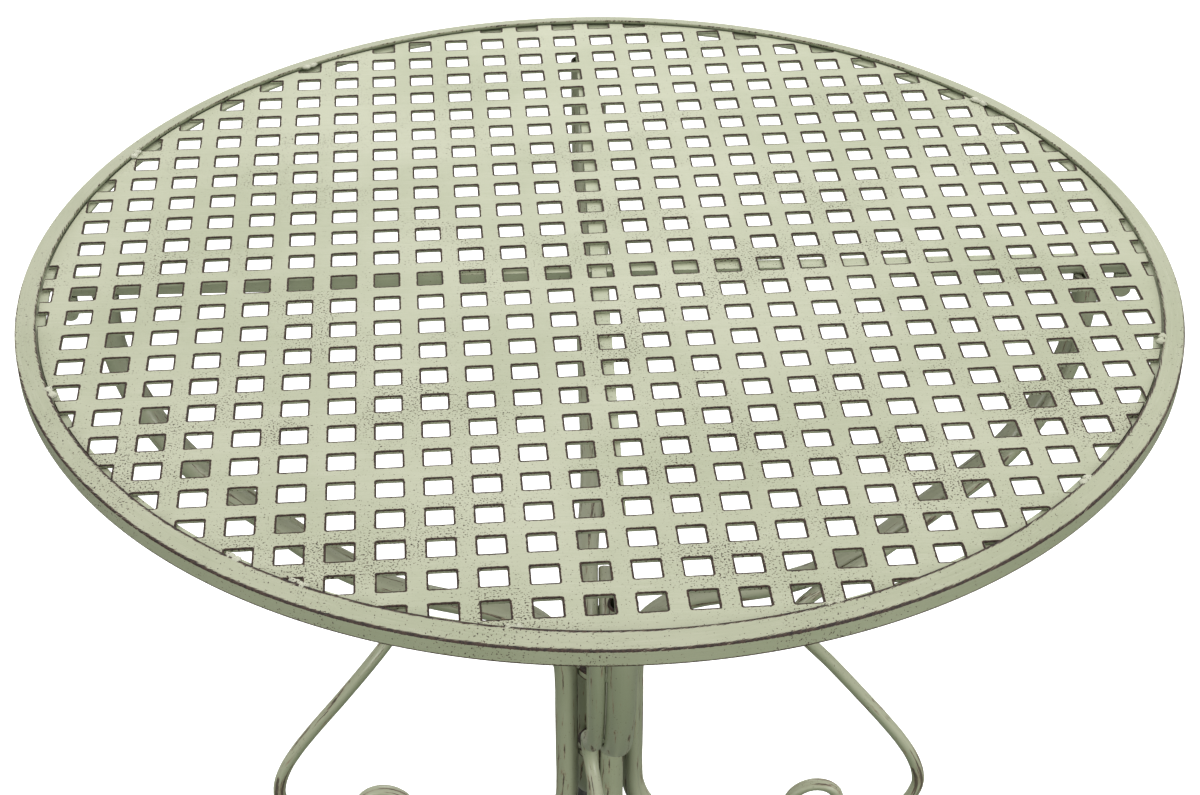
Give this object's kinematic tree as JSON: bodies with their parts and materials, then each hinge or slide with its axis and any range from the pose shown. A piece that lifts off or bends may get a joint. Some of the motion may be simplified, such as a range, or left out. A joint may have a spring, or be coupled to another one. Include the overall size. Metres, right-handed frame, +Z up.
{
  "type": "bistro table",
  "caption": "Round iron bistro table: square-perforated top in an angle ring, on four bent tube legs bundled at the middle, with scrolls of round bar.",
  "frame": {"origin": "on the floor, under the middle of the top", "axes": "+Z up; the legs stand on the X and Y axes; the front leg is at -Y"},
  "size_m": [0.7, 0.7, 0.752],
  "materials": {
    "top_paint": "satin, brushed on by hand, rubbed through to brown at the edges",
    "frame_paint": "satin, with brown wear along the bars",
    "under_paint": "satin",
    "foot_plastic": "matte"
  },
  "bodies": {
    "root": {"top_ring": "top_paint", "top_plate": "top_paint", "plate_ledge": "under_paint", "brace_side_to_side": "under_paint", "brace_front_to_back": "under_paint", "brace_tab_front": "under_paint", "brace_tab_right": "under_paint", "brace_tab_back": "under_paint", "brace_tab_left": "under_paint", "leg_front": "frame_paint", "leg_right": "frame_paint", "leg_back": "frame_paint", "leg_left": "frame_paint", "scroll_front": "frame_paint", "scroll_right": "frame_paint", "scroll_back": "frame_paint", "scroll_left": "frame_paint", "bundle_rod_front": "frame_paint", "bundle_rod_right": "frame_paint", "bundle_rod_back": "frame_paint", "bundle_rod_left": "frame_paint", "spacer_ring_upper": "under_paint", "spacer_ring_lower": "under_paint", "foot_cap_front": "foot_plastic", "foot_cap_right": "foot_plastic", "foot_cap_back": "foot_plastic", "foot_cap_left": "foot_plastic"}
  },
  "joints": []
}
